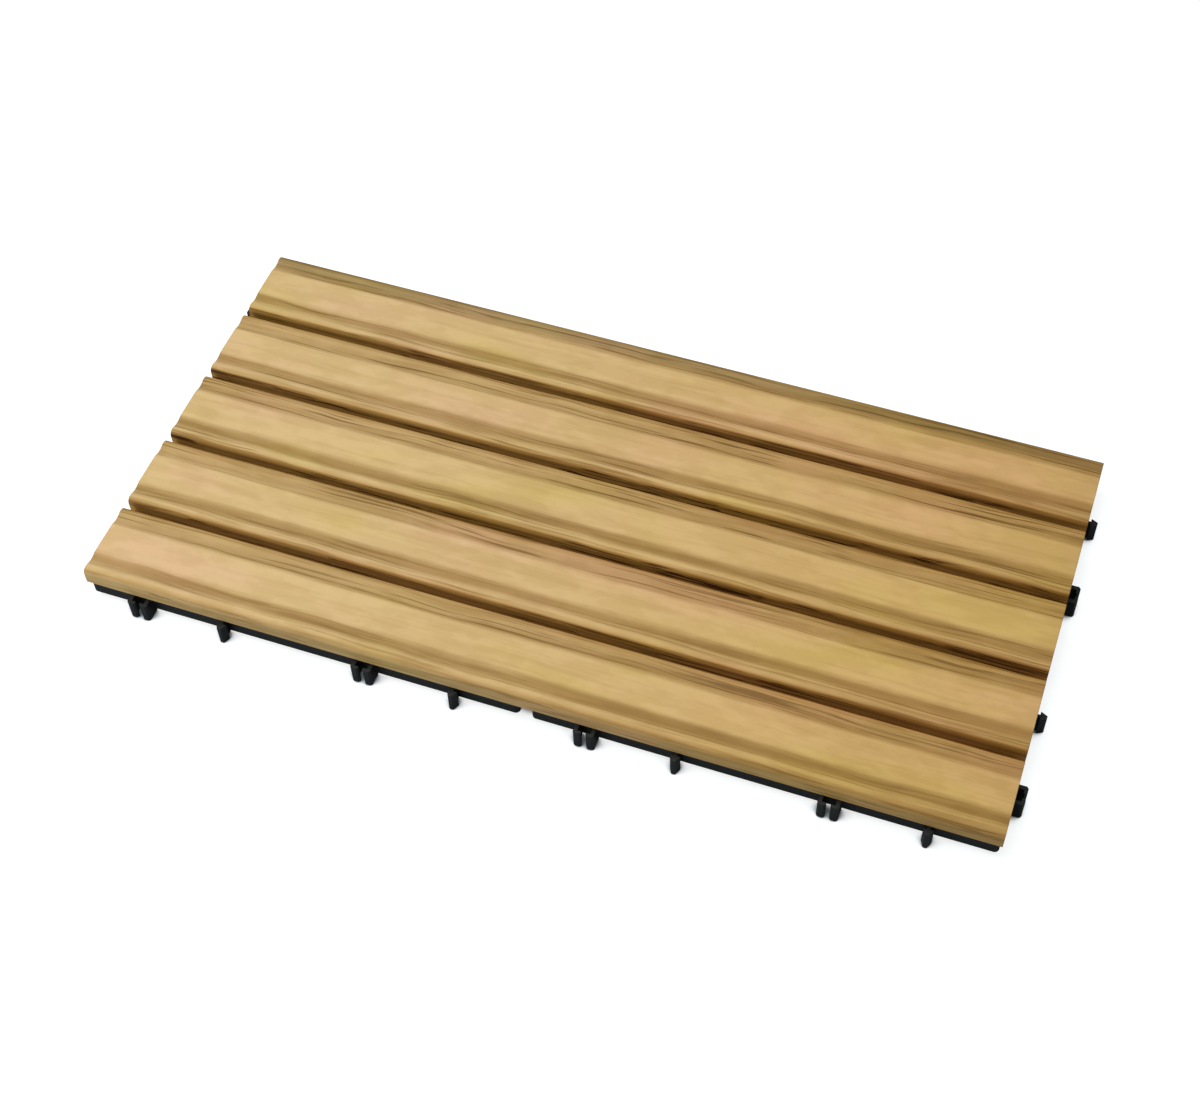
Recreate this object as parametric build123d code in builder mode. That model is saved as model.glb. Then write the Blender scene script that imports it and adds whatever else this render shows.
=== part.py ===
from build123d import *
import os

os.makedirs("parts", exist_ok=True)

# A deck tile: grooved slats screwed onto two square plastic bases that snap together.
# The origin is on the ground, under the middle of the tile. X runs along the slats.
# All sizes are in millimetres.

# The tile as a whole
slat_count = 5
slat_pitch = 60.0
slat_gap = 5.0
base_names = ["base_left", "base_right"]
base_height = 15.5

# A slat and its grooves
slat_thickness = 12.5
slat_edge_radius = 4.0
slat_foot_chamfer = 0.8
groove_spacing = 34.0
groove_width = 10.0
groove_depth = 1.3

# The base moulding: rim, ribs and feet
base_gap = 8.0
rim_wall = 2.5
rim_lift = 5.0
rim_corner_radius = 3.0
rib_wall = 2.0
rib_depth = 8.5
cross_rib_count = 5
cross_rib_spacing = 60.0
foot_width = 7.0
foot_chamfer = 1.0

# The snap connectors, seen in plan: a socket is a pair of jaws, and an arrow goes into it
connector_lift = 0.5
socket_width = 13.6
socket_jaw = 2.8
socket_lip = 2.4
socket_chamfer = 1.2
arrow_neck = 2.0
arrow_tip = 2.6
snap_clearance = 0.4
snap_side_clearance = 0.6

# Places along a front or right side, from its middle, anticlockwise seen from above
first_socket = -109.5
second_socket = 44.0
first_arrow = -52.0
second_arrow = 104.0

# The countersunk screws, and the bosses that hold them
screw_column = 90.0
screw_radius = 1.75
screw_head_radius = 3.5
screw_length = 16.0
screw_tip_length = 3.0
screw_tip_radius = 0.4
boss_width = 11.0
boss_depth = 9.5
screw_hole_clearance = 0.25
head_sink = 0.3
pilot_clearance = 0.05
pilot_spare_depth = 0.5

# A screw and its holes are drawn with this many flat sides
round_sides = 9

# Worked out from the sizes above
base_pitch = slat_count * slat_pitch
slat_width = slat_pitch - slat_gap
slat_length = len(base_names) * base_pitch - slat_gap
tile_height = base_height + slat_thickness
groove_radius = (groove_width**2 / 4 + groove_depth**2) / (2 * groove_depth)
rim_size = base_pitch - base_gap
rim_half = rim_size / 2
snap_reach = base_gap - snap_clearance
arrow_shoulder = base_gap - snap_reach + socket_lip + snap_clearance
arrow_width = socket_width - 2 * socket_jaw - 2 * snap_side_clearance
socket_mouth = arrow_neck + 2 * snap_clearance
screw_hole_radius = screw_radius + screw_hole_clearance
seat_radius = screw_head_radius + head_sink
seat_depth = seat_radius - screw_hole_radius
boss_bottom = base_height - boss_depth
rib_bottom = base_height - rib_depth
head_bottom = boss_bottom + head_sink
head_height = screw_head_radius - screw_radius
pilot_depth = head_bottom + screw_length - base_height + pilot_spare_depth
slat_lines = [(row - (slat_count - 1) / 2) * slat_pitch for row in range(slat_count)]
base_middles = [
    (column - (len(base_names) - 1) / 2) * base_pitch for column in range(len(base_names))
]
screw_columns = [middle + side * screw_column for middle in base_middles for side in (-1, 1)]


def plan(middle, height):
    """The level plane over a base's middle at a height above the ground."""
    return Plane(origin=(middle, 0, height))


def side_plan(middle, turn):
    """A level plane whose X runs along one side of a base, some quarter turns from the front."""
    return plan(middle, connector_lift).rotated((0, 0, 90 * turn))


def jaw_outline(place, side):
    """One jaw of a socket: a wall out from the rim, with a lip that turns in at its end."""
    outer = socket_width / 2
    inner = outer - socket_jaw
    lip = socket_mouth / 2
    root = rim_half - rim_wall
    reach = rim_half + snap_reach
    corners = [
        (outer, root),
        (outer, reach - socket_chamfer),
        (outer - socket_chamfer, reach),
        (lip + socket_chamfer, reach),
        (lip, reach - socket_chamfer),
        (lip, reach - socket_lip),
        (inner, reach - socket_lip),
        (inner, root),
    ]
    return [(place + side * along, -out) for along, out in corners]


def arrow_outline(place):
    """An arrow: a neck out from the rim, then a head that narrows to a blunt tip."""
    half = [
        (arrow_neck / 2, rim_half - rim_wall),
        (arrow_neck / 2, rim_half + arrow_shoulder),
        (arrow_width / 2, rim_half + arrow_shoulder),
        (arrow_tip / 2, rim_half + snap_reach),
    ]
    both = half + [(-along, out) for along, out in reversed(half)]
    return [(place + along, -out) for along, out in both]


for name, middle in zip(base_names, base_middles):
    with BuildPart() as base:
        # The rim stands clear of the ground, so that water runs out under it
        with BuildSketch(plan(middle, rim_lift)):
            RectangleRounded(rim_size, rim_size, rim_corner_radius)
            Rectangle(rim_size - 2 * rim_wall, rim_size - 2 * rim_wall, mode=Mode.SUBTRACT)
        extrude(amount=base_height - rim_lift)

        # Long ribs run under each slat's middle and each gap, and cross ribs carry the slats
        with BuildSketch(plan(middle, rib_bottom)):
            with GridLocations(0, slat_pitch / 2, 1, 2 * slat_count - 1):
                Rectangle(rim_size - rim_wall, rib_wall)
            with GridLocations(cross_rib_spacing, 0, cross_rib_count, 1):
                Rectangle(rib_wall, rim_size - rim_wall)
        extrude(amount=rib_depth)

        # A foot goes down from each crossing under a slat's middle, with its lower edges cut back
        with BuildSketch(plan(middle, 0)):
            with GridLocations(cross_rib_spacing, slat_pitch, cross_rib_count, slat_count):
                Rectangle(foot_width, foot_width)
        extrude(amount=rib_bottom)
        chamfer(faces().group_by(Axis.Z)[0].edges(), foot_chamfer)

        # Two screw bosses under each slat
        with BuildSketch(plan(middle, boss_bottom)):
            with GridLocations(2 * screw_column, slat_pitch, 2, slat_count):
                Rectangle(boss_width, boss_width)
        extrude(amount=boss_depth)

        # The front and right sides are alike, and mate with the back and left sides
        for turn in range(4):
            if turn < 2:
                sockets = [first_socket, second_socket]
                arrows = [first_arrow, second_arrow]
            else:
                sockets = [-first_arrow, -second_arrow]
                arrows = [-first_socket, -second_socket]
            with BuildSketch(side_plan(middle, turn)):
                for place in sockets:
                    Polygon(*jaw_outline(place, 1), align=None)
                    Polygon(*jaw_outline(place, -1), align=None)
                for place in arrows:
                    Polygon(*arrow_outline(place), align=None)
            extrude(amount=base_height - connector_lift)

        # Countersunk screw holes, entered from below
        with BuildSketch(plan(middle, boss_bottom)):
            with GridLocations(2 * screw_column, slat_pitch, 2, slat_count):
                RegularPolygon(seat_radius, round_sides, major_radius=False)
        extrude(amount=seat_depth, taper=45, mode=Mode.SUBTRACT)
        with BuildSketch(plan(middle, boss_bottom)):
            with GridLocations(2 * screw_column, slat_pitch, 2, slat_count):
                RegularPolygon(screw_hole_radius, round_sides, major_radius=False)
        extrude(amount=boss_depth, mode=Mode.SUBTRACT)
    base.part.label = name
    export_step(base.part, f"parts/{name}.step")

for number, line in enumerate(slat_lines, start=1):
    with BuildPart() as slat:
        end_face = Plane(
            origin=(-slat_length / 2, line, base_height), x_dir=(0, 1, 0), z_dir=(1, 0, 0)
        )
        with BuildSketch(end_face):
            Rectangle(slat_width, slat_thickness, align=(Align.CENTER, Align.MIN))
            corners = vertices().group_by(Axis.Y)
            fillet(corners[-1], slat_edge_radius)
            chamfer(corners[0], slat_foot_chamfer)
            # The grooves are shallow and round, as a cutter with a round nose leaves them
            with Locations((0, slat_thickness - groove_depth + groove_radius)):
                with GridLocations(groove_spacing, 0, 2, 1):
                    Circle(groove_radius, mode=Mode.SUBTRACT)
        extrude(amount=slat_length)

        # Pilot holes, one over each screw
        with BuildSketch(Plane.XY.offset(base_height)):
            with Locations(*[(column, line) for column in screw_columns]):
                RegularPolygon(screw_radius + pilot_clearance, round_sides, major_radius=False)
        extrude(amount=pilot_depth, mode=Mode.SUBTRACT)
    slat.part.label = f"slat_{number}"
    export_step(slat.part, f"parts/slat_{number}.step")

# A screw stands head down: a countersunk head, a plain shank and a point
with BuildPart() as screw:
    with BuildSketch():
        RegularPolygon(screw_head_radius, round_sides, major_radius=False)
    extrude(amount=head_height, taper=45)
    with BuildSketch(Plane.XY.offset(head_height)):
        RegularPolygon(screw_radius, round_sides, major_radius=False)
    extrude(amount=screw_length - head_height - screw_tip_length)
    with BuildSketch(Plane.XY.offset(screw_length - screw_tip_length)):
        RegularPolygon(screw_radius, round_sides, major_radius=False)
    with BuildSketch(Plane.XY.offset(screw_length)):
        RegularPolygon(screw_tip_radius, round_sides, major_radius=False)
    loft()

with BuildPart() as screws:
    with Locations(*[(column, line, head_bottom) for column in screw_columns for line in slat_lines]):
        add(screw.part)
screws.part.label = "screws"
export_step(screws.part, "parts/screws.step")

print("slats:", slat_count, "of", slat_length, "by", slat_width, "by", slat_thickness)
print("tile height:", tile_height, "pitch:", len(base_names) * base_pitch, "by", base_pitch)
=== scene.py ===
# %% [markdown]
# # A grooved deck tile
#
# Five planed slats are screwed onto two square plastic bases that snap together. The imported model
# gives every size and place, so it is loaded first and nothing below moves it. Lengths are in metres.

import bmesh
import bpy
import numpy as np
from mathutils import Matrix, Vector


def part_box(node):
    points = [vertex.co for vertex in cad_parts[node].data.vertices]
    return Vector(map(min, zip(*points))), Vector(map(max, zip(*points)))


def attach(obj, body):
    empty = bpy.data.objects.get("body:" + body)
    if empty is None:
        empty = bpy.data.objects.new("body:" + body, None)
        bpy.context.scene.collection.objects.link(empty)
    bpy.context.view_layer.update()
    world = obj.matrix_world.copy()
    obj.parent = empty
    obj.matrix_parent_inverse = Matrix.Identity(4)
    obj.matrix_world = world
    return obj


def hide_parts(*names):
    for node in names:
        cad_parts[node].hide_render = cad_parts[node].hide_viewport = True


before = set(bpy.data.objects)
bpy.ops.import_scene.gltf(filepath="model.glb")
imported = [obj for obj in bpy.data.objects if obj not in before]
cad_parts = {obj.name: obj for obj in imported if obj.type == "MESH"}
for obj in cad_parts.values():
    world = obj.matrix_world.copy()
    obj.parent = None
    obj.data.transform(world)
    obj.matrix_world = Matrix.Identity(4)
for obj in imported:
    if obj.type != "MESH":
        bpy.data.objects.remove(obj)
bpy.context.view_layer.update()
MM = 0.001
print("nodes:", ", ".join(sorted(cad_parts)))

# %% [markdown]
# ## The camera
#
# The photograph looks down on the tile from the front, a little to the right of its middle. The
# camera was found by matching the slats' edges and ends, so its place and its three directions are
# written out as they came. A shift could be replaced by a turn of the camera, but then the edges
# would run together at the wrong rate: the picture is a piece cut from a larger one.

# %% Place the camera
CAMERA_PLACE = (0.28577, -0.73545, 1.04807)
CAMERA_RIGHT = (0.947594, 0.319478, 0.000226)
CAMERA_UP = (-0.256418, 0.760133, 0.597032)
CAMERA_BACK = (0.190566, -0.565802, 0.802217)
SENSOR_WIDTH_MM = 36.0
LENS_MM = 59.915
SIDEWAYS_SHIFT = -0.05
NEAREST = 0.01
FARTHEST = 50.0


def make_camera():
    """A camera whose axes are the three directions above: x is right, y is up and z is back."""
    data = bpy.data.cameras.new("photo_camera")
    data.sensor_width = SENSOR_WIDTH_MM
    data.lens = LENS_MM
    data.shift_x = SIDEWAYS_SHIFT
    data.clip_start = NEAREST
    data.clip_end = FARTHEST
    camera = bpy.data.objects.new("photo_camera", data)
    columns = np.array([CAMERA_RIGHT, CAMERA_UP, CAMERA_BACK]).T
    placed = Matrix(columns.tolist()).to_4x4()
    placed.translation = CAMERA_PLACE
    camera.matrix_world = placed
    bpy.context.scene.collection.objects.link(camera)
    bpy.context.scene.camera = camera
    return camera


camera = make_camera()
print("camera height:", round(camera.matrix_world.translation.z, 3))

# %% [markdown]
# ## Shapes from numbers
#
# Most new pieces are a profile carried along a path. A sharp computer-drawn corner gives the game
# away, because every real edge is a little round and catches the light. So the first helper takes
# the corners of a profile with a radius for each, and the others shrink a profile, join a grid of
# points into faces, and make the piece. Blender's Bevel modifier could round the edges too, but
# here the radii differ from corner to corner.

# %% Helpers for profiles and grids
def rounded_outline(corners, radii, steps):
    """Points round a closed outline, anticlockwise, with `steps` points on each corner's arc.

    At a corner the sides meet at an angle. The arc's centre lies on the angle's bisector, at the
    radius divided by the sine of half the angle, and the arc turns from square to one side to
    square to the other.
    """
    corners = np.asarray(corners, float)
    radii = np.asarray(radii, float)[:, None]
    to_last = np.roll(corners, 1, axis=0) - corners
    to_next = np.roll(corners, -1, axis=0) - corners
    to_last /= np.linalg.norm(to_last, axis=1, keepdims=True)
    to_next /= np.linalg.norm(to_next, axis=1, keepdims=True)
    angle = np.arccos(np.clip((to_last * to_next).sum(1, keepdims=True), -1, 1))
    bisector = to_last + to_next
    bisector /= np.linalg.norm(bisector, axis=1, keepdims=True)
    centre = corners + bisector * radii / np.sin(angle / 2)
    start = corners + to_last * radii / np.tan(angle / 2) - centre
    end = corners + to_next * radii / np.tan(angle / 2) - centre
    turn = np.pi - angle
    share = np.linspace(0, 1, steps)[None, :, None]
    weight_start = np.sin((1 - share) * turn[:, None]) / np.sin(turn[:, None])
    weight_end = np.sin(share * turn[:, None]) / np.sin(turn[:, None])
    points = centre[:, None] + weight_start * start[:, None] + weight_end * end[:, None]
    return points.reshape(-1, 2)


def inward_normals(outline):
    """The unit normal at each point of an anticlockwise outline, turned to its inside.

    It is the direction from the point before to the point after, turned to the left by a quarter.
    """
    along = np.roll(outline, -1, axis=0) - np.roll(outline, 1, axis=0)
    along /= np.linalg.norm(along, axis=1, keepdims=True)
    return np.stack([-along[:, 1], along[:, 0]], axis=1)


def grid_faces(rows, columns):
    """Quads over a grid of points, row by row, where each row closes on itself.

    A quad joins a point to the one beside it, and both to the same two in the next row.
    """
    row, column = np.meshgrid(np.arange(rows - 1), np.arange(columns), indexing="ij")
    beside = (column + 1) % columns
    quads = np.stack(
        [row * columns + column, row * columns + beside,
         (row + 1) * columns + beside, (row + 1) * columns + column], axis=-1
    )
    return quads.reshape(-1, 4)


def make_piece(name, points, faces, materials, replaced):
    """An object from points and faces, which rides on the tile and stands for the nodes named."""
    mesh = bpy.data.meshes.new(name)
    mesh.from_pydata(points.tolist(), [], [list(map(int, face)) for face in faces])
    mesh.validate()
    for material in materials:
        mesh.materials.append(material)
    piece = bpy.data.objects.new(name, mesh)
    bpy.context.scene.collection.objects.link(piece)
    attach(piece, "root")
    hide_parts(*replaced)
    return piece


square = rounded_outline([(0, 0), (1, 0), (1, 1), (0, 1)], [0.1] * 4, 5)
print("a square with round corners has", len(square), "points")

# %% [markdown]
# ## Patterns in the timber
#
# The slats are planed softwood with a honey stain. The ground is three near tones in broad soft
# patches, pinker here and yellower there. Coats of colour go over it, each through a mask of its
# own: stain with painted shade in the grooves and at the edges, faint smudges and mottles, dark
# hairlines where the cutter has broken the surface, painted shade that darkens and warms the wood
# towards the right, and painted shade on the long sides that face the gaps. A painted image could
# hold all that, but it would have to be wrapped round each edge.
# Stretched noise on Object coordinates runs through the whole board, as the grain does, and the
# cuts only reveal it. Where a coat shows follows the profile, so it reads an attribute that the
# slats carry. The patterns are a node group, placed in each slat's material with its own values.

# %% Helpers for shader nodes
def new_group(name, inputs, outputs):
    """A shader node group with named sockets: the group, its input node and its output node."""
    group = bpy.data.node_groups.new(name, "ShaderNodeTree")
    for socket, kind, value in inputs:
        made = group.interface.new_socket(socket, in_out="INPUT", socket_type=kind)
        if value is not None:
            made.default_value = value
    for socket, kind in outputs:
        group.interface.new_socket(socket, in_out="OUTPUT", socket_type=kind)
    source = group.nodes.new("NodeGroupInput")
    target = group.nodes.new("NodeGroupOutput")
    return group, source, target


def fill(tree, socket, value):
    """Links a socket to another one, or gives it a plain value."""
    if isinstance(value, bpy.types.NodeSocket):
        tree.links.new(value, socket)
    else:
        socket.default_value = value


def add_node(tree, kind, inputs=None, **settings):
    """A node with its settings. Each input is given a socket to read from, or a plain value."""
    node = tree.nodes.new(kind)
    for setting, value in settings.items():
        setattr(node, setting, value)
    for socket, value in (inputs or {}).items():
        fill(tree, node.inputs[socket], value)
    return node


def add_math(tree, operation, *values):
    """A Math node. Each value is a socket or a number."""
    node = tree.nodes.new("ShaderNodeMath")
    node.operation = operation
    for socket, value in zip(node.inputs, values):
        fill(tree, socket, value)
    return node.outputs[0]


def add_product(tree, *values):
    """The product of two or more values. Each one is a socket or a number."""
    result = values[0]
    for value in values[1:]:
        result = add_math(tree, "MULTIPLY", result, value)
    return result


def add_mix(tree, factor, first, second, blend="MIX"):
    """Mixes two colours. Each of the three is a socket or a plain value."""
    node = tree.nodes.new("ShaderNodeMix")
    node.data_type = "RGBA"
    node.blend_type = blend
    for number, value in ((0, factor), (6, first), (7, second)):
        fill(tree, node.inputs[number], value)
    return node.outputs[2]


def add_range(tree, value, start, end, low=0.0, high=1.0):
    """A value carried smoothly from `low` at `start` to `high` at `end`, and level beyond them."""
    node = add_node(
        tree, "ShaderNodeMapRange",
        {"Value": value, "From Min": start, "From Max": end, "To Min": low, "To Max": high},
        interpolation_type="SMOOTHSTEP",
    )
    return node.outputs[0]


def stretched_noise(tree, place, scale, detail, rough):
    """Noise on squeezed coordinates. `scale` is how many waves there are per metre, in x, y, z."""
    mapped = add_node(tree, "ShaderNodeMapping", {"Vector": place, "Scale": scale})
    noise = add_node(
        tree, "ShaderNodeTexNoise",
        {"Vector": mapped.outputs[0], "Scale": 1.0, "Detail": detail, "Roughness": rough},
    )
    return noise.outputs["Fac"]


def shade(red, green, blue):
    """A colour as a screen shows it, 0 to 255, turned into the linear light that shaders use."""
    value = np.array([red, green, blue]) / 255
    linear = np.where(value <= 0.04045, value / 12.92, ((value + 0.055) / 1.055) ** 2.4)
    return (*(float(v) for v in linear), 1.0)


print("middle grey in linear light:", round(shade(128, 128, 128)[0], 3))

# %% [markdown]
# The tones are written as a screen shows them, because that is how a maker picks them from a
# sample. The first three are the ground. The others are coats that multiply it, so a coat that is
# nearly white changes little.

# %% The timber's tones
HONEY_YELLOW = shade(192, 168, 109)
HONEY = shade(194, 167, 118)
HONEY_PINK = shade(198, 165, 125)
# The grooves' coat is stain with painted shade: it darkens the hollows as shade would.
GROOVE_STAIN_AND_SHADE = shade(206, 196, 173)
# The edges' coat is stain with painted shade, darkening the rounded edges beside the gaps.
EDGE_STAIN_AND_SHADE = shade(224, 213, 192)
# The sides' coat is painted warm shade on the long sides that face the gaps.
SIDE_PAINTED_SHADE = shade(254, 228, 172)
# The rim's coat is painted shade on the upper part of those sides.
RIM_PAINTED_SHADE = shade(203, 203, 203)
HAIRLINE = shade(180, 164, 114)
SMUDGE = shade(226, 219, 200)
MOTTLE = shade(246, 244, 238)
# Painted shade that darkens and warms the wood towards the right end.
RIGHTWARD_PAINTED_SHADE = shade(252, 242, 219)
# Painted shade on the front shoulders towards the right end.
SHOULDER_PAINTED_SHADE = shade(243, 241, 239)
# Makes the last slat's rear shoulder greyer and darker.
REAR_SHOULDER_GREY = shade(222, 225, 224)
print("honey in linear light:", [round(v, 3) for v in HONEY[:3]])

# %% [markdown]
# Each noise is given by its waves per metre along x, y and z, its detail and its roughness. A few
# waves along the grain and many across it pull it into streaks. The hairs are the finest, and read
# coordinates that drift to the side, as real grain drifts from the slat's direction. A slow noise
# moves the borders of the zones to and fro and the hairs fray them, so no border is a ruled line.

# %% The timber's noises
PATCHES = ((8.0, 22.0, 22.0), 2.0, 0.5)
DRIFT = ((8.0, 12.0, 12.0), 2.0, 0.5)
DRIFT_REACH = 0.01
HAIRS = ((9.0, 600.0, 450.0), 2.5, 0.6)
BORDERS = ((11.0, 30.0, 30.0), 3.0, 0.55)
BORDER_REACH_MM = 5.6
FRAY_REACH_MM = 7.0
SMUDGES = ((7.0, 170.0, 120.0), 3.0, 0.6)
MOTTLES = ((34.0, 80.0, 80.0), 3.0, 0.6)


def add_drift(group, place):
    """Coordinates that a slow noise moves sideways, by up to half of DRIFT_REACH either way."""
    drift = stretched_noise(group, place, *DRIFT)
    sideways = add_math(group, "MULTIPLY_ADD", drift, DRIFT_REACH, -DRIFT_REACH / 2)
    offset = add_node(group, "ShaderNodeCombineXYZ", {"Y": sideways}).outputs[0]
    moved = add_node(group, "ShaderNodeVectorMath", {0: place, 1: offset}, operation="ADD")
    return moved.outputs[0]


def add_waver(group, place, hairs):
    """How far a border is moved, in mm: the borders' noise and the hairs, each less its half."""
    fray = add_math(group, "MULTIPLY_ADD", hairs, FRAY_REACH_MM, -FRAY_REACH_MM / 2)
    border = stretched_noise(group, place, *BORDERS)
    lowered = add_math(group, "SUBTRACT", fray, BORDER_REACH_MM / 2)
    return add_math(group, "MULTIPLY_ADD", border, BORDER_REACH_MM, lowered)


print("hairs in a millimetre across a slat:", HAIRS[0][1] * MM)

# %% [markdown]
# A slat has zones: the flat in its middle, a stain with painted shade along each groove, the
# shoulder and the edge outside each groove, and the two long sides. Each zone is a mask, from nought
# to one. Its border is written as two places in mm, and then the mask's values there, where they
# aren't nought and one. A side that faces a gap gets painted shade, warmer all over and darker on
# its upper part, and an outer side, which no gap shades, gets less, so each slat says how much its
# sides get.

# %% The zones across a slat
UPPER_PART = (0.5, 3.5)
FRONT_STAIN_AND_SHADE_LINE = -15.6
FRONT_STAIN_AND_SHADE_BORDER = (6.2, 1.2)
REAR_STAIN_AND_SHADE_LINE = 18.0
REAR_STAIN_AND_SHADE_BORDER = (7.4, 1.6, 0.0, 0.7)
REAR_STAIN_AND_SHADE_GROWTH = 0.15
FLAT_BORDER = (10.0, 15.0)
REAR_HALF = (-6.0, 6.0, 0.6, 1.0)
GAP_BORDER = (-26.0, -27.3, 0.0, 1.2)
FRONT_EDGE_BORDER = (-21.5, -26.5, 0.0, 0.85)
REAR_EDGE_BORDER = (20.5, 25.0, 0.0, 1.25)
ARRIS_BORDER = (27.4, 26.4, 0.3, 1.0)
SHOULDER_BORDER = (-18.0, -21.0)
SHOULDER_SHADE_RANGE = (0.6, 1.0)
REAR_SHOULDER_GREY_BORDER = (15.0, 19.5)
SIDE_BORDER = (25.3, 26.9)
RIM_BORDER = (5.0, 8.0)


def add_zones(group, source, waver):
    """The masks of a slat's zones, by name.

    A groove's stain and painted shade fade with the distance from a line along the slat, and the flat
    with the distance from the slat's middle. The others fade with the place across the slat, or with
    the height above its underside.
    """
    across, height = source.outputs["Across"], source.outputs["Height"]
    rightward_shade = source.outputs["Rightward shade"]
    fine_waver = add_math(group, "MULTIPLY", waver, 0.5)
    wavy_across = add_math(group, "ADD", across, fine_waver)
    distance = add_math(group, "ABSOLUTE", across)
    upper = add_range(group, height, *UPPER_PART)
    above_side = add_range(group, distance, *ARRIS_BORDER)

    def add_stain_and_shade(line, border):
        off_line = add_math(group, "ABSOLUTE", add_math(group, "SUBTRACT", across, line))
        return add_range(group, add_math(group, "ADD", off_line, fine_waver), *border)

    # Stain with painted shade along each groove.
    front_stain_and_shade = add_stain_and_shade(FRONT_STAIN_AND_SHADE_LINE, FRONT_STAIN_AND_SHADE_BORDER)
    rear_stain_and_shade = add_stain_and_shade(REAR_STAIN_AND_SHADE_LINE, REAR_STAIN_AND_SHADE_BORDER)
    # The rear groove's coat grows towards the right with that painted shade.
    growth = add_math(group, "MULTIPLY_ADD", rightward_shade, REAR_STAIN_AND_SHADE_GROWTH, 1.0)
    rear_stain_and_shade = add_product(group, rear_stain_and_shade, growth)
    groove = add_product(group, add_math(group, "ADD", front_stain_and_shade, rear_stain_and_shade), upper)

    outside_flat = add_range(group, add_math(group, "ADD", distance, waver), *FLAT_BORDER)
    outside_flat = add_product(group, outside_flat, upper)
    in_gap = add_product(group, add_range(group, across, *GAP_BORDER), source.outputs["Front side"])
    rear_half = add_range(group, across, *REAR_HALF)
    broken = add_product(group, outside_flat, add_math(group, "ADD", rear_half, in_gap))

    # Stain with painted shade on the rounded edges outside the grooves.
    front_edge = add_range(group, wavy_across, *FRONT_EDGE_BORDER)
    rear_edge = add_range(group, wavy_across, *REAR_EDGE_BORDER)
    edge = add_product(group, add_math(group, "ADD", front_edge, rear_edge), above_side, upper)
    # Painted shade on the front shoulder and edge, towards the right end.
    shoulder = add_range(group, wavy_across, *SHOULDER_BORDER)
    shade_at_right = add_range(group, rightward_shade, *SHOULDER_SHADE_RANGE)
    shoulder = add_product(group, shoulder, shade_at_right, above_side)
    # The last slat's rear shoulder is made greyer and darker.
    greyer_rear = add_range(group, wavy_across, *REAR_SHOULDER_GREY_BORDER)
    greyer_rear = add_product(group, greyer_rear, source.outputs["Greyer rear"])

    # Painted shade on the long sides that face the gaps, darker on their upper part.
    front_side = add_range(group, across, -SIDE_BORDER[0], -SIDE_BORDER[1])
    front_side = add_product(group, front_side, source.outputs["Front side"])
    rear_side = add_range(group, across, *SIDE_BORDER)
    rear_side = add_product(group, rear_side, source.outputs["Rear side"])
    side = add_math(group, "ADD", front_side, rear_side)
    rim = add_product(group, side, add_range(group, height, *RIM_BORDER))
    return {"groove": groove, "outside flat": outside_flat, "broken": broken, "edge": edge,
            "shoulder": shoulder, "greyer_rear": greyer_rear, "side": side, "rim": rim}


print("width of the flat in mm:", 2 * FLAT_BORDER[0])

# %% [markdown]
# The group lays the coats over the ground one after another. The hairlines are the hairs cut off at
# a threshold, and they get two coats, so that a darker one is a browner one too. Roughness and
# relief come from the same noises as the colour, so that a dark line is also a fine scratch.

# %% The timber's colour, roughness and relief
PINKNESS_REACH = 0.3
PINK_RANGE = (0.5, 0.72)
YELLOW_RANGE = (0.47, 0.3)
SMUDGE_RANGE = (0.54, 0.36)
SMUDGE_ON_FLAT = 0.3
SMUDGE_MORE_OUTSIDE = 0.4
MOTTLE_RANGE = (0.6, 0.4)
HAIRLINE_RANGE = (0.47, 0.34, 0.0, 0.72)
SMOOTHEST = 0.56
ROUGHER_BY = 0.16
HAIRLINE_RELIEF = -0.4
SMUDGE_RELIEF = 0.5


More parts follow.
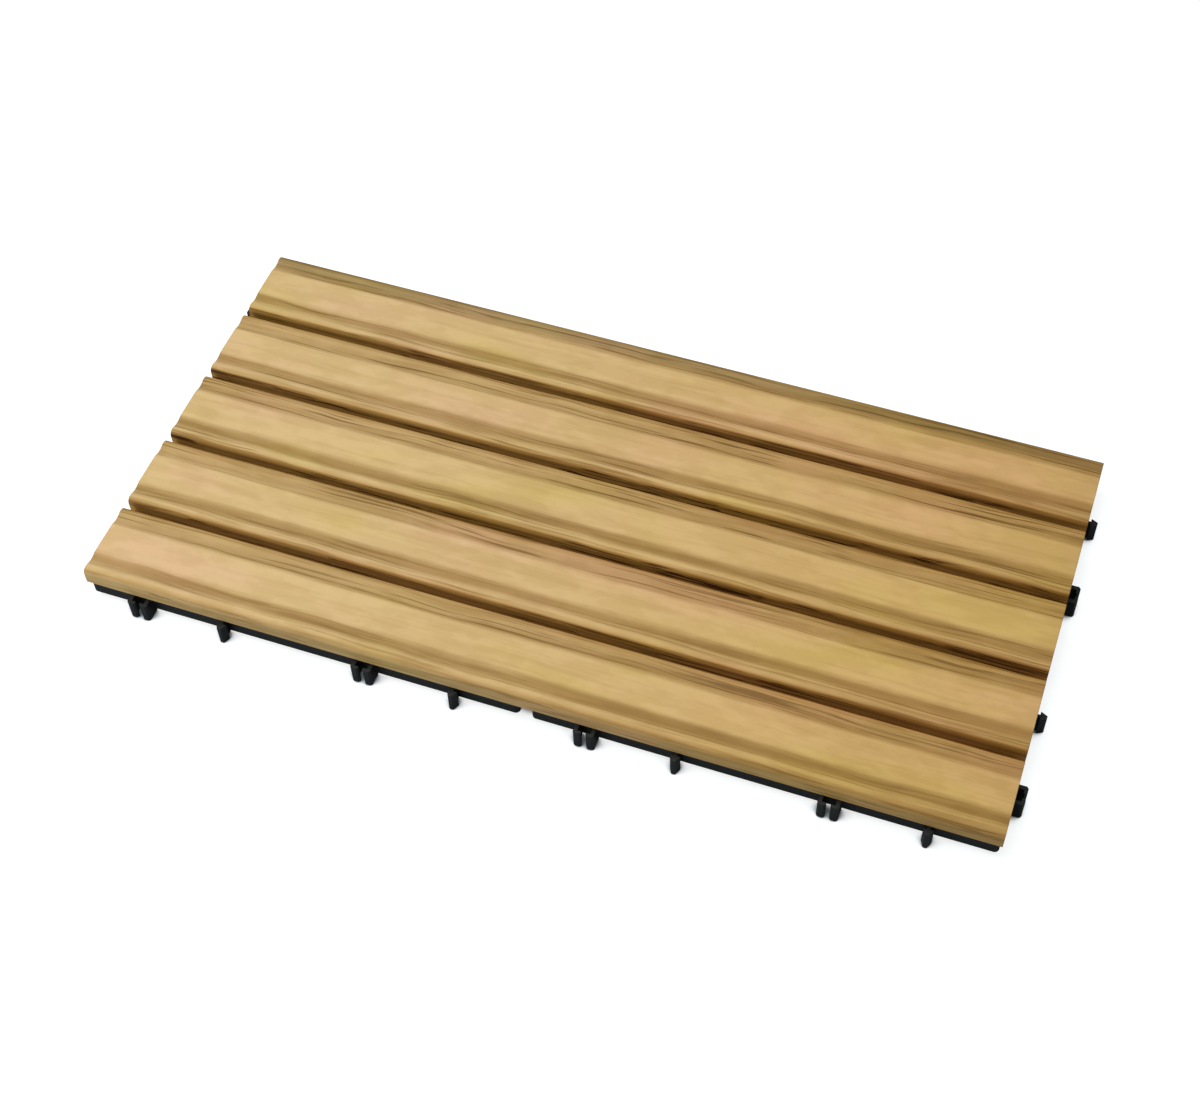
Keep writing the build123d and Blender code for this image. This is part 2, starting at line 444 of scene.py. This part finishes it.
def make_timber_group():
    """Colour, roughness and relief of a planed slat.

    Place is where the point lies in the wood. Across is its distance from the slat's middle,
    positive to the rear, and Height its distance above the underside, both in millimetres.
    The rightward shade input runs from 0 to 1 where painted shade darkens and warms the wood towards the
    right. The front and rear side inputs say how much painted shade a long side gets, and the greyer
    rear input how much greyer and darker the rear shoulder is made.
    """
    group, source, target = new_group(
        "planed_timber",
        [("Place", "NodeSocketVector", None), ("Across", "NodeSocketFloat", 0.0),
         ("Pinkness", "NodeSocketFloat", 0.5), ("Hairlines", "NodeSocketFloat", 0.6),
         ("Rightward shade", "NodeSocketFloat", 0.0), ("Height", "NodeSocketFloat", 6.0),
         ("Front side", "NodeSocketFloat", 1.0), ("Rear side", "NodeSocketFloat", 1.0),
         ("Greyer rear", "NodeSocketFloat", 0.0)],
        [("Colour", "NodeSocketColor"), ("Roughness", "NodeSocketFloat"),
         ("Relief", "NodeSocketFloat")],
    )
    place, rightward_shade = source.outputs["Place"], source.outputs["Rightward shade"]
    grain = add_drift(group, place)
    hairs = stretched_noise(group, grain, *HAIRS)
    zones = add_zones(group, source, add_waver(group, place, hairs))

    patches = stretched_noise(group, place, *PATCHES)
    pinkness = add_math(group, "MULTIPLY_ADD", source.outputs["Pinkness"], PINKNESS_REACH,
                        -PINKNESS_REACH / 2)
    pink = add_range(group, add_math(group, "ADD", patches, pinkness), *PINK_RANGE)
    yellow = add_range(group, patches, *YELLOW_RANGE)
    tone = add_mix(group, pink, HONEY, HONEY_PINK)
    tone = add_mix(group, yellow, tone, HONEY_YELLOW)

    smudges = stretched_noise(group, grain, *SMUDGES)
    smudge_share = add_math(group, "MULTIPLY_ADD", zones["outside flat"], SMUDGE_MORE_OUTSIDE,
                            SMUDGE_ON_FLAT)
    smudge = add_product(group, add_range(group, smudges, *SMUDGE_RANGE), smudge_share)
    mottle = add_range(group, stretched_noise(group, place, *MOTTLES), *MOTTLE_RANGE)
    hairline = add_range(group, hairs, *HAIRLINE_RANGE)
    hairline = add_product(group, hairline, zones["broken"], source.outputs["Hairlines"])
    # The coats for the grooves, the edges, the sides and the rim, and those that grow towards the right,
    # are painted shade; the grooves' and edges' hold some stain too.
    coats = (
        (zones["groove"], GROOVE_STAIN_AND_SHADE), (zones["edge"], EDGE_STAIN_AND_SHADE), (smudge, SMUDGE),
        (mottle, MOTTLE), (hairline, HAIRLINE), (hairline, HAIRLINE), (rightward_shade, RIGHTWARD_PAINTED_SHADE),
        (zones["shoulder"], SHOULDER_PAINTED_SHADE), (zones["greyer_rear"], REAR_SHOULDER_GREY),
        (zones["side"], SIDE_PAINTED_SHADE), (zones["rim"], RIM_PAINTED_SHADE),
    )
    for mask, coat in coats:
        tone = add_mix(group, mask, tone, coat, "MULTIPLY")

    rough = add_math(group, "MULTIPLY_ADD", hairs, ROUGHER_BY, SMOOTHEST)
    faint = add_math(group, "MULTIPLY", smudges, SMUDGE_RELIEF)
    relief = add_math(group, "MULTIPLY_ADD", hairline, HAIRLINE_RELIEF, faint)
    for socket, value in (("Colour", tone), ("Roughness", rough), ("Relief", relief)):
        group.links.new(value, target.inputs[socket])
    return group


timber_group = make_timber_group()
print("nodes in the timber group:", len(timber_group.nodes))

# %% [markdown]
# A sawn end shows the same tree from its end: growth rings as arcs round the middle of the trunk,
# which lay below the board. The rings are a sine wave of the distance from that middle, sharpened
# on its dark side, with fine pores over them.

# %% The sawn ends
END_PALE = shade(178, 148, 101)
END_DARK = shade(133, 98, 58)
RING_SPACING = 0.0024
RING_WOBBLE = 5.0
RING_RANGE = (-0.2, 1.0)
RING_STRENGTH = 0.55
PORE_RANGE = (0.5, 0.32, 0.0, 0.45)
WOBBLES = ((60.0, 60.0, 60.0), 2.0, 0.5)
PORES = ((900.0, 900.0, 900.0), 2.0, 0.6)


def make_end_group():
    """Colour and relief of a sawn end: arcs round a point under the slat, and pores.

    The ring value is the sine of the distance from the trunk's middle, which goes through one turn
    from ring to ring. A noise is added to the turn, so the arcs aren't drawn with compasses.
    """
    group, source, target = new_group(
        "sawn_end",
        [("Place", "NodeSocketVector", None), ("Trunk", "NodeSocketVector", None)],
        [("Colour", "NodeSocketColor"), ("Relief", "NodeSocketFloat")],
    )
    place = source.outputs["Place"]
    wobble = add_math(group, "MULTIPLY", stretched_noise(group, place, *WOBBLES), RING_WOBBLE)
    level = add_node(group, "ShaderNodeVectorMath", {0: place, 1: (0.0, 1.0, 1.0)},
                     operation="MULTIPLY").outputs[0]
    from_trunk = add_node(group, "ShaderNodeVectorMath", {0: level, 1: source.outputs["Trunk"]},
                          operation="DISTANCE").outputs["Value"]
    turn = add_math(group, "MULTIPLY_ADD", from_trunk, 2 * np.pi / RING_SPACING, wobble)
    ring = add_range(group, add_math(group, "SINE", turn), *RING_RANGE)
    pores = stretched_noise(group, place, *PORES)
    pore = add_range(group, pores, *PORE_RANGE)
    dark = add_math(group, "MULTIPLY_ADD", ring, RING_STRENGTH, pore)
    colour = add_mix(group, dark, END_PALE, END_DARK)
    group.links.new(colour, target.inputs["Colour"])
    group.links.new(pores, target.inputs["Relief"])
    return group


end_group = make_end_group()
print("nodes in the end group:", len(end_group.nodes))

# %% [markdown]
# Each slat was sawn from another board, so each one has its own materials. A Mapping node moves the
# pattern to another part of the same endless wood. The material holds the shader itself, and a
# small Bump gives the planed surface its faint relief.

# %% Helpers for materials
def new_material(name):
    """A new material, its node tree, and the shader that it starts with."""
    material = bpy.data.materials.new(name)
    material.use_nodes = True
    return material, material.node_tree, material.node_tree.nodes["Principled BSDF"]


def dress(tree, shader, colour, roughness, relief, strength, distance):
    """Gives a shader its colour and roughness, and its relief through a Bump node."""
    bump = add_node(tree, "ShaderNodeBump", {
        "Height": relief, "Strength": strength, "Distance": distance})
    fill(tree, shader.inputs["Base Color"], colour)
    fill(tree, shader.inputs["Roughness"], roughness)
    fill(tree, shader.inputs["Normal"], bump.outputs[0])


SLAT_NAMES = sorted(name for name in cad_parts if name.startswith("slat"))
print("slats to dress:", len(SLAT_NAMES))

# %% The planed material of each slat
SLAT_UNDERSIDE = float(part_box(SLAT_NAMES[0])[0][2])
BOARD_STEP = (1.37, 0.23, 0.41)
RIGHTWARD_SHADE_REACH = (-0.2, 0.28)
LOOK_NAMES = ("Pinkness", "Hairlines", "Front side", "Rear side", "Greyer rear")
# The first slat's front side and the last slat's rear side get less of the sides' painted shade.
SLAT_LOOKS = (
    (0.45, 0.6, 0.1, 1.0, 0.0),
    (0.6, 0.65, 1.0, 1.0, 0.0),
    (0.4, 0.85, 1.0, 1.0, 0.0),
    (0.5, 0.95, 1.0, 1.0, 0.0),
    (0.65, 0.7, 1.0, 0.5, 1.0),
)


def make_timber(number, look):
    """The planed material of one slat, with the patterns moved to a place of their own."""
    material, tree, shader = new_material(f"timber_{number}")
    place = add_node(tree, "ShaderNodeTexCoord").outputs["Object"]
    board = tuple(number * step for step in BOARD_STEP)
    moved = add_node(tree, "ShaderNodeMapping", {"Vector": place, "Location": board})
    across = add_node(tree, "ShaderNodeAttribute", attribute_name="across_mm")
    parts = add_node(tree, "ShaderNodeSeparateXYZ", {"Vector": place}).outputs
    height = add_math(tree, "MULTIPLY_ADD", parts["Z"], 1 / MM, -SLAT_UNDERSIDE / MM)
    wood = add_node(tree, "ShaderNodeGroup", node_tree=timber_group)
    fill(tree, wood.inputs["Place"], moved.outputs[0])
    fill(tree, wood.inputs["Across"], across.outputs["Fac"])
    fill(tree, wood.inputs["Height"], height)
    # Painted shade grows along x, towards the right end of each slat.
    fill(tree, wood.inputs["Rightward shade"], add_range(tree, parts["X"], *RIGHTWARD_SHADE_REACH))
    for socket, value in zip(LOOK_NAMES, look):
        wood.inputs[socket].default_value = value
    dress(tree, shader, wood.outputs["Colour"], wood.outputs["Roughness"],
          wood.outputs["Relief"], strength=0.3, distance=0.0003)
    shader.inputs["Specular IOR Level"].default_value = 0.16
    return material


timbers = [make_timber(number, look) for number, look in enumerate(SLAT_LOOKS, start=1)]
print("planed materials:", len(timbers))

# %% The sawn material of each slat's ends
TRUNK_SIDESTEP = 0.011
TRUNK_DEPTH = 0.03
TRUNK_DEPTH_STEP = 0.008


def make_sawn_end(number, line):
    """The material of one slat's ends. The trunk's middle is under the slat, or a bit beside it."""
    material, tree, shader = new_material(f"timber_end_{number}")
    place = add_node(tree, "ShaderNodeTexCoord").outputs["Object"]
    end = add_node(tree, "ShaderNodeGroup", node_tree=end_group)
    fill(tree, end.inputs["Place"], place)
    trunk_line = line + TRUNK_SIDESTEP * (number % 3 - 1)
    trunk_depth = TRUNK_DEPTH + TRUNK_DEPTH_STEP * number
    end.inputs["Trunk"].default_value = (0.0, trunk_line, -trunk_depth)
    dress(tree, shader, end.outputs["Colour"], 0.75,
          end.outputs["Relief"], strength=0.4, distance=0.0003)
    shader.inputs["Specular IOR Level"].default_value = 0.2
    return material


slat_lines = [float(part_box(name)[0][1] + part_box(name)[1][1]) / 2 for name in SLAT_NAMES]
sawn_ends = [make_sawn_end(number, line) for number, line in enumerate(slat_lines, start=1)]
print("slat lines:", [round(line, 3) for line in slat_lines])

# %% [markdown]
# ## The slats
#
# A slat is one moulded profile, planed in a machine and then cut to length. The profile is the
# packed slat's, with every corner eased. It is carried along x, and over the last half millimetre
# at each end it shrinks along a quarter circle, as a sanded end does. Each end is closed by one
# flat face. The alternative, a Boolean cut for each groove, would leave hard edges.

# %% Draw a slat's profile
SLAT_TOP_RADIUS = 4.0
SLAT_FOOT_RADIUS = 0.8
GROOVE_MIDDLE = 17.0
GROOVE_WIDTH = 10.0
GROOVE_DEPTH = 1.3
GROOVE_EASING = 0.16
END_RADIUS = 0.5
ARC_STEPS = 7
FACE_STEPS = 97
END_STEPS = 5
LENGTH_STEPS = 26


def slat_profile(width, height):
    """A slat's outline in mm: y across, from its middle, and z up, from its underside.

    A groove's depth is a parabola of the distance t from the groove's middle,
    f = depth * (1 - (2t / width)²). The smooth maximum of f and nought, which is half of
    f + sqrt(f² + easing²), rounds its lips.
    """
    half = width / 2
    plain = rounded_outline(
        [(-half, 0), (half, 0), (half, height), (-half, height)],
        [SLAT_FOOT_RADIUS] * 2 + [SLAT_TOP_RADIUS] * 2, ARC_STEPS,
    )
    y = np.linspace(half - SLAT_TOP_RADIUS, SLAT_TOP_RADIUS - half, FACE_STEPS)[1:-1]
    off_middle = np.abs(y) - GROOVE_MIDDLE
    cut = GROOVE_DEPTH * (1 - (2 * off_middle / GROOVE_WIDTH) ** 2)
    cut = (cut + np.sqrt(cut**2 + GROOVE_EASING**2)) / 2
    top = np.stack([y, height - cut], axis=1)
    return np.concatenate([plain[: 3 * ARC_STEPS], top, plain[3 * ARC_STEPS:]])


slat_low, slat_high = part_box(SLAT_NAMES[0])
slat_width = (slat_high[1] - slat_low[1]) / MM
slat_height = (slat_high[2] - slat_low[2]) / MM
profile = slat_profile(slat_width, slat_height)
print("slat", round(slat_width, 2), "by", round(slat_height, 2), "mm,", len(profile), "points round it")


# %% Carry the profile along each slat
def make_slat(name, planed, sawn):
    """The outline at each station along x, moved inwards by what the round end takes off.

    At a distance d from the end, less than the radius r, the outline lies
    r - sqrt(r² - (r - d)²) inside the full one.
    """
    low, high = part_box(name)
    middle = (low[1] + high[1]) / 2
    turn = np.linspace(0, np.pi / 2, END_STEPS)
    from_end = END_RADIUS * (1 - np.cos(turn))
    inset = END_RADIUS * (1 - np.sin(turn))
    length = (high[0] - low[0]) / MM
    between = np.linspace(from_end[-1], length - from_end[-1], LENGTH_STEPS)[1:-1]
    station = np.concatenate([from_end, between, length - from_end[::-1]])
    inside = np.concatenate([inset, np.zeros(len(between)), inset[::-1]])
    section = profile[None] + inward_normals(profile)[None] * inside[:, None, None]
    points = np.empty((len(station), len(profile), 3))
    points[..., 0] = low[0] + station[:, None] * MM
    points[..., 1] = middle + section[..., 0] * MM
    points[..., 2] = low[2] + section[..., 1] * MM
    count = len(profile)
    sides = grid_faces(len(station), count)[:, ::-1]
    last = (len(station) - 1) * count
    ends = [list(range(count))[::-1], list(range(last, last + count))]
    piece = make_piece(f"{name}_planed", points.reshape(-1, 3), list(sides) + ends,
                       [planed, sawn], [name])
    across = piece.data.attributes.new("across_mm", "FLOAT", "POINT")
    across.data.foreach_set("value", np.tile(profile[:, 0], len(station)).astype(np.float32))
    is_end = np.zeros(len(piece.data.polygons), bool)
    is_end[-2:] = True
    piece.data.polygons.foreach_set("use_smooth", ~is_end)
    piece.data.polygons.foreach_set("material_index", is_end.astype(np.int32))
    return piece


slats = [make_slat(*parts) for parts in zip(SLAT_NAMES, timbers, sawn_ends)]
print("faces in a slat:", len(slats[0].data.polygons))

# %% [markdown]
# ## The two base mouldings
#
# The bases are black plastic, moulded in one shot each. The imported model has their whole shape, so
# a copy of its mesh is taken, its loose triangles are joined, and flat neighbours are made one
# face. A narrow Bevel then eases the edges by the third of a millimetre that a mould leaves.

# %% The moulded plastic
MOULDED_BLACK = shade(17, 19, 18)
DUSTY_BLACK = shade(43, 45, 43)
FINE_GRAIN = ((1600.0, 1600.0, 1600.0), 2.0, 0.6)
DUST_CLOUDS = ((28.0, 28.0, 28.0), 4.0, 0.6)
DUST_RANGE = (0.42, 0.68)
SCUFFS = ((260.0, 260.0, 260.0), 3.0, 0.65)
SCUFF_RANGE = (0.6, 0.75)
SCUFF_STRENGTH = 0.12
PLASTIC_ROUGHNESS = 0.4
ROUGHER_IN_GRAIN = 0.12
ROUGHER_IN_HAZE = 0.35


def make_grain_group():
    """Fine moulded grain, and a haze of dust and scuffs that makes the plastic greyer."""
    group, source, target = new_group(
        "moulded_grain",
        [("Place", "NodeSocketVector", None), ("Plastic", "NodeSocketColor", None),
         ("Haze", "NodeSocketColor", None), ("Amount", "NodeSocketFloat", 0.3)],
        [("Colour", "NodeSocketColor"), ("Roughness", "NodeSocketFloat"),
         ("Relief", "NodeSocketFloat")],
    )
    place = source.outputs["Place"]
    fine = stretched_noise(group, place, *FINE_GRAIN)
    dust = add_range(group, stretched_noise(group, place, *DUST_CLOUDS), *DUST_RANGE)
    dust = add_product(group, dust, source.outputs["Amount"])
    scuff = add_range(group, stretched_noise(group, place, *SCUFFS), *SCUFF_RANGE)
    haze = add_math(group, "MULTIPLY_ADD", scuff, SCUFF_STRENGTH, dust)
    colour = add_mix(group, haze, source.outputs["Plastic"], source.outputs["Haze"])
    grainy = add_math(group, "MULTIPLY_ADD", fine, ROUGHER_IN_GRAIN, PLASTIC_ROUGHNESS)
    rough = add_math(group, "MULTIPLY_ADD", haze, ROUGHER_IN_HAZE, grainy)
    for socket, value in (("Colour", colour), ("Roughness", rough), ("Relief", fine)):
        group.links.new(value, target.inputs[socket])
    return group


def make_plastic():
    """Black moulded plastic with a slight green cast."""
    material, tree, shader = new_material("black_moulding")
    place = add_node(tree, "ShaderNodeTexCoord").outputs["Object"]
    grain = add_node(tree, "ShaderNodeGroup", node_tree=make_grain_group())
    fill(tree, grain.inputs["Place"], place)
    grain.inputs["Plastic"].default_value = MOULDED_BLACK
    grain.inputs["Haze"].default_value = DUSTY_BLACK
    grain.inputs["Amount"].default_value = 0.25
    dress(tree, shader, grain.outputs["Colour"], grain.outputs["Roughness"],
          grain.outputs["Relief"], strength=0.25, distance=0.0001)
    shader.inputs["Specular IOR Level"].default_value = 0.2
    return material


plastic = make_plastic()
print("plastic:", plastic.name)


# %% Join the mesh of each base and ease its edges
MERGE_REACH = 1e-6
FLAT_ANGLE = np.radians(1)
SHARP_ANGLE = np.radians(30)
EASING = 0.3 * MM


def make_moulding(name):
    """A copy of a base's mesh: points merged, flat neighbours joined, and sharp edges eased."""
    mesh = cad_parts[name].data.copy()
    mesh.name = f"{name}_moulding"
    work = bmesh.new()
    work.from_mesh(mesh)
    bmesh.ops.remove_doubles(work, verts=work.verts, dist=MERGE_REACH)
    bmesh.ops.dissolve_limit(work, angle_limit=FLAT_ANGLE, verts=work.verts, edges=work.edges)
    work.to_mesh(mesh)
    work.free()
    mesh.materials.clear()
    mesh.materials.append(plastic)
    mesh.polygons.foreach_set("use_smooth", np.zeros(len(mesh.polygons), bool))
    piece = bpy.data.objects.new(f"{name}_moulding", mesh)
    bpy.context.scene.collection.objects.link(piece)
    bevel = piece.modifiers.new("eased_edges", "BEVEL")
    bevel.width = EASING
    bevel.segments = 2
    bevel.limit_method = "ANGLE"
    bevel.angle_limit = SHARP_ANGLE
    bevel.use_clamp_overlap = False
    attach(piece, "root")
    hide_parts(name)
    return piece


mouldings = [make_moulding(name) for name in ("base_left", "base_right")]
print("faces in a moulding:", len(mouldings[0].data.polygons))

# %% [markdown]
# ## The screws
#
# Twenty countersunk screws stand head down in the bosses and hold the slats. Only the heads show,
# from below, but a screw that is taken out should look like one, so the thread and the point are
# there too. One screw is a grid of points round its axis, from the middle of its head over the rim,
# up the cone and the thread to the point. The grid is then repeated for all twenty.

# %% The screws' steel
DULL_STEEL = shade(176, 168, 148)
BRIGHT_STEEL = shade(205, 200, 188)
BLOTCHES = ((400.0, 400.0, 400.0), 3.0, 0.6)
BLOTCH_RANGE = (0.35, 0.7)
SCRATCHES = ((2500.0, 2500.0, 2500.0), 2.0, 0.6)
STEEL_ROUGHNESS = 0.24
ROUGHER_IN_BLOTCHES = 0.25


def make_steel():
    """Zinc-plated steel, a little yellow, with roughness that varies like a tumbled plating."""
    material, tree, shader = new_material("plated_steel")
    place = add_node(tree, "ShaderNodeTexCoord").outputs["Object"]
    blotches = stretched_noise(tree, place, *BLOTCHES)
    scratches = stretched_noise(tree, place, *SCRATCHES)
    colour = add_mix(tree, add_range(tree, blotches, *BLOTCH_RANGE), DULL_STEEL, BRIGHT_STEEL)
    rough = add_math(tree, "MULTIPLY_ADD", blotches, ROUGHER_IN_BLOTCHES, STEEL_ROUGHNESS)
    dress(tree, shader, colour, rough, scratches, strength=0.15, distance=0.00005)
    shader.inputs["Metallic"].default_value = 1.0
    return material


steel = make_steel()
print("steel:", steel.name)

# %% Draw one screw
HEAD_RADIUS = 3.5
SHANK_RADIUS = 1.75
CORE_RADIUS = 1.2
SCREW_LENGTH = 16.0
POINT_LENGTH = 3.0
THREAD_PITCH = 1.6
RECESS_DEPTH = 1.5
BAR_HALF_WIDTH = 0.5
BAR_REACH = 1.9
BAR_SIDE_SLOPE = 0.2
BAR_END_SLOPE = 0.6
ROUND_POINTS = 36
HEAD_RINGS = 14
THREAD_RINGS = 68


def cross_recess(radius, angle):
    """Depth of the cross recess in mm at a place on the head.

    Two bars cross at right angles. The depth falls with the distance from the nearer bar's middle
    line, and with the distance along it, and it is the lesser of the two.
    """
    x, y = radius * np.cos(angle), radius * np.sin(angle)
    off_bar = np.minimum(np.abs(x), np.abs(y))
    along = np.maximum(np.abs(x), np.abs(y))
    side = np.clip((BAR_HALF_WIDTH - off_bar) / BAR_SIDE_SLOPE, 0, 1)
    end = np.clip((BAR_REACH - along) / BAR_END_SLOPE, 0, 1)
    return RECESS_DEPTH * np.minimum(side, end)


def screw_grid():
    """Rings of points of one screw, head down at z = 0, in mm.

    Up the thread the radius is the core's plus a ridge: the ridge is 1 - 3 |p| where p, between
    -1/2 and 1/2, is the height in pitches less the angle in turns, and it is cut off at nought.
    """
    angle = np.arange(ROUND_POINTS) * 2 * np.pi / ROUND_POINTS
    face = np.linspace(0.15, HEAD_RADIUS - 0.1, HEAD_RINGS)
    head_r = np.repeat(face[:, None], ROUND_POINTS, axis=1)
    head_z = cross_recess(head_r, angle[None])
    # The head's edge takes two rings, its cone ends in a third, and a fourth leads into the thread
    head_height = HEAD_RADIUS - SHANK_RADIUS
    neck_r = np.array([HEAD_RADIUS, HEAD_RADIUS, SHANK_RADIUS + 0.1, CORE_RADIUS + 0.2])
    neck_z = np.array([0.12, 0.35, head_height, head_height + 0.9])
    z = np.linspace(head_height + 1.2, SCREW_LENGTH - 0.15, THREAD_RINGS)
    phase = z[:, None] / THREAD_PITCH - angle[None] / (2 * np.pi)
    ridge = np.clip(1 - 3 * np.abs(phase - np.round(phase)), 0, 1)
    taper = np.clip((SCREW_LENGTH - z) / POINT_LENGTH, 0, 1)[:, None]
    thread_r = taper * (CORE_RADIUS + (SHANK_RADIUS - CORE_RADIUS) * ridge)
    radius = np.concatenate([head_r, np.repeat(neck_r[:, None], ROUND_POINTS, 1), thread_r])
    height = np.concatenate([head_z, np.repeat(neck_z[:, None], ROUND_POINTS, 1),
                             np.repeat(z[:, None], ROUND_POINTS, 1)])
    return np.stack([radius * np.cos(angle), radius * np.sin(angle), height], axis=-1)


rings = screw_grid()
print("rings of points in a screw:", len(rings))

# %% Repeat it for all twenty
SCREW_OFFSET = 90.0 * MM


def make_screws():
    """All the screws as one piece. Each grid is closed by a point at either end."""
    low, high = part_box("screws")
    middles = [(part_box(name)[0][0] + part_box(name)[1][0]) / 2 for name in ("base_left", "base_right")]
    columns = [middle + side * SCREW_OFFSET for middle in middles for side in (-1, 1)]
    count = len(rings) * ROUND_POINTS
    poles = np.array([[0, 0, cross_recess(0.0, 0.0)], [0, 0, SCREW_LENGTH]])
    one = np.concatenate([rings.reshape(-1, 3), poles]) * MM
    start = np.arange(ROUND_POINTS)
    beside = (start + 1) % ROUND_POINTS
    top = count - ROUND_POINTS
    quads = grid_faces(len(rings), ROUND_POINTS)
    head_fan = np.stack([np.full(ROUND_POINTS, count), beside, start], axis=1)
    point_fan = np.stack([np.full(ROUND_POINTS, count + 1), top + start, top + beside], axis=1)
    places = [(x, line) for x in columns for line in slat_lines]
    points = np.concatenate([one + np.array([x, y, low[2]]) for x, y in places])
    faces = []
    for number in range(len(places)):
        first = number * len(one)
        faces += (quads + first).tolist() + (head_fan + first).tolist() + (point_fan + first).tolist()
    piece = make_piece("countersunk_screws", points, faces, [steel], ["screws"])
    piece.data.polygons.foreach_set("use_smooth", np.ones(len(piece.data.polygons), bool))
    return piece


screws = make_screws()
print("faces in all the screws:", len(screws.data.polygons))

# %% [markdown]
# ## The floor and the light
#
# The photograph has a white ground with hardly any shadow, and the tile is lit from straight above
# by something large, with a little more from the front left. So one lamp is a wide square over the
# tile, a small one stands low at the front left, and the sky is dimmer than it looks to the camera.
# The floor is pale grey to the light, which keeps the slats' front faces dark. Round the tile it
# glows for the camera, which takes most of the shadow off it, though not deep in the sockets, where
# little sky is to be seen. Seen from below the floor isn't there, and right under the tile it
# lights the underside a little, so that can be looked at too. A larger, brighter sky could take the
# shadow off as well, but it would flatten the grooves.

# %% The floor
FLOOR_REACH = 30.0
FLOOR_GREY = (0.3, 0.34, 0.37, 1)
GLOW_WHITE = (1.0, 1.0, 0.99, 1)
GLOW_AROUND = 0.8
GLOW_BENEATH = 0.3
BENEATH_X = (0.2925, 0.2865)
BENEATH_Y = (0.1425, 0.1365)
SKY_REACH = 0.012
SKY_RANGE = (0.38, 0.68)


def make_floor():
    """A wide square floor under the tile.

    Its glow is, for the camera, the glow around times the sky seen and times what isn't beneath the
    tile, and for other rays the glow beneath times what is.
    """
    mesh = bpy.data.meshes.new("floor")
    reach = FLOOR_REACH
    mesh.from_pydata([(-reach, -reach, 0), (reach, -reach, 0), (reach, reach, 0),
                      (-reach, reach, 0)], [], [(0, 1, 2, 3)])
    floor = bpy.data.objects.new("floor", mesh)
    bpy.context.scene.collection.objects.link(floor)
    material, tree, shader = new_material("floor_white")
    shader.inputs["Base Color"].default_value = FLOOR_GREY
    shader.inputs["Roughness"].default_value = 0.9
    shader.inputs["Specular IOR Level"].default_value = 0.1
    shader.inputs["Emission Color"].default_value = GLOW_WHITE
    place = add_node(tree, "ShaderNodeTexCoord").outputs["Object"]
    parts = add_node(tree, "ShaderNodeSeparateXYZ", {"Vector": place}).outputs
    beneath_x = add_range(tree, add_math(tree, "ABSOLUTE", parts["X"]), *BENEATH_X)
    beneath_y = add_range(tree, add_math(tree, "ABSOLUTE", parts["Y"]), *BENEATH_Y)
    beneath = add_product(tree, beneath_x, beneath_y)
    sky = add_node(tree, "ShaderNodeAmbientOcclusion", {"Distance": SKY_REACH}).outputs["AO"]
    around = add_math(tree, "MULTIPLY_ADD", beneath, -GLOW_AROUND, GLOW_AROUND)
    around = add_product(tree, add_range(tree, sky, *SKY_RANGE), around)
    seen = add_node(tree, "ShaderNodeLightPath").outputs["Is Camera Ray"]
    for_camera = add_product(tree, seen, around)
    for_others = add_product(tree, add_math(tree, "SUBTRACT", 1.0, seen), beneath, GLOW_BENEATH)
    fill(tree, shader.inputs["Emission Strength"], add_math(tree, "ADD", for_camera, for_others))
    side = add_node(tree, "ShaderNodeNewGeometry")
    fill(tree, shader.inputs["Alpha"], add_math(tree, "SUBTRACT", 1.0, side.outputs["Backfacing"]))
    mesh.materials.append(material)
    return floor


floor = make_floor()
print("floor:", 2 * FLOOR_REACH, "m wide")


# %% The sky and the lamps
def make_sky(strength, seen):
    """A plain white sky, which lights less than it shows."""
    world = bpy.data.worlds.new("studio")
    bpy.context.scene.world = world
    world.use_nodes = True
    tree = world.node_tree
    background = tree.nodes["Background"]
    background.inputs["Color"].default_value = (1.0, 1.0, 1.0, 1)
    path = add_node(tree, "ShaderNodeLightPath")
    level = add_math(tree, "MULTIPLY_ADD", path.outputs["Is Camera Ray"], seen - strength, strength)
    fill(tree, background.inputs["Strength"], level)


def make_lamp(name, place, size, watts):
    """A white square lamp that faces the tile's middle."""
    data = bpy.data.lights.new(name, "AREA")
    data.size = size
    data.energy = watts
    lamp = bpy.data.objects.new(name, data)
    back = np.array(place, float)
    back /= np.linalg.norm(back)
    right = np.cross((0, 1, 0), back)
    right /= np.linalg.norm(right)
    up = np.cross(back, right)
    turned = Matrix(np.array([right, up, back]).T.tolist()).to_4x4()
    turned.translation = place
    lamp.matrix_world = turned
    bpy.context.scene.collection.objects.link(lamp)
    return lamp


make_sky(strength=0.35, seen=0.93)
make_lamp("softbox", place=(-0.28, -0.05, 1.5), size=1.4, watts=24.5)
make_lamp("side_lamp", place=(-0.75, -0.75, 0.25), size=0.4, watts=3.3)
bpy.context.scene.view_settings.view_transform = "Standard"
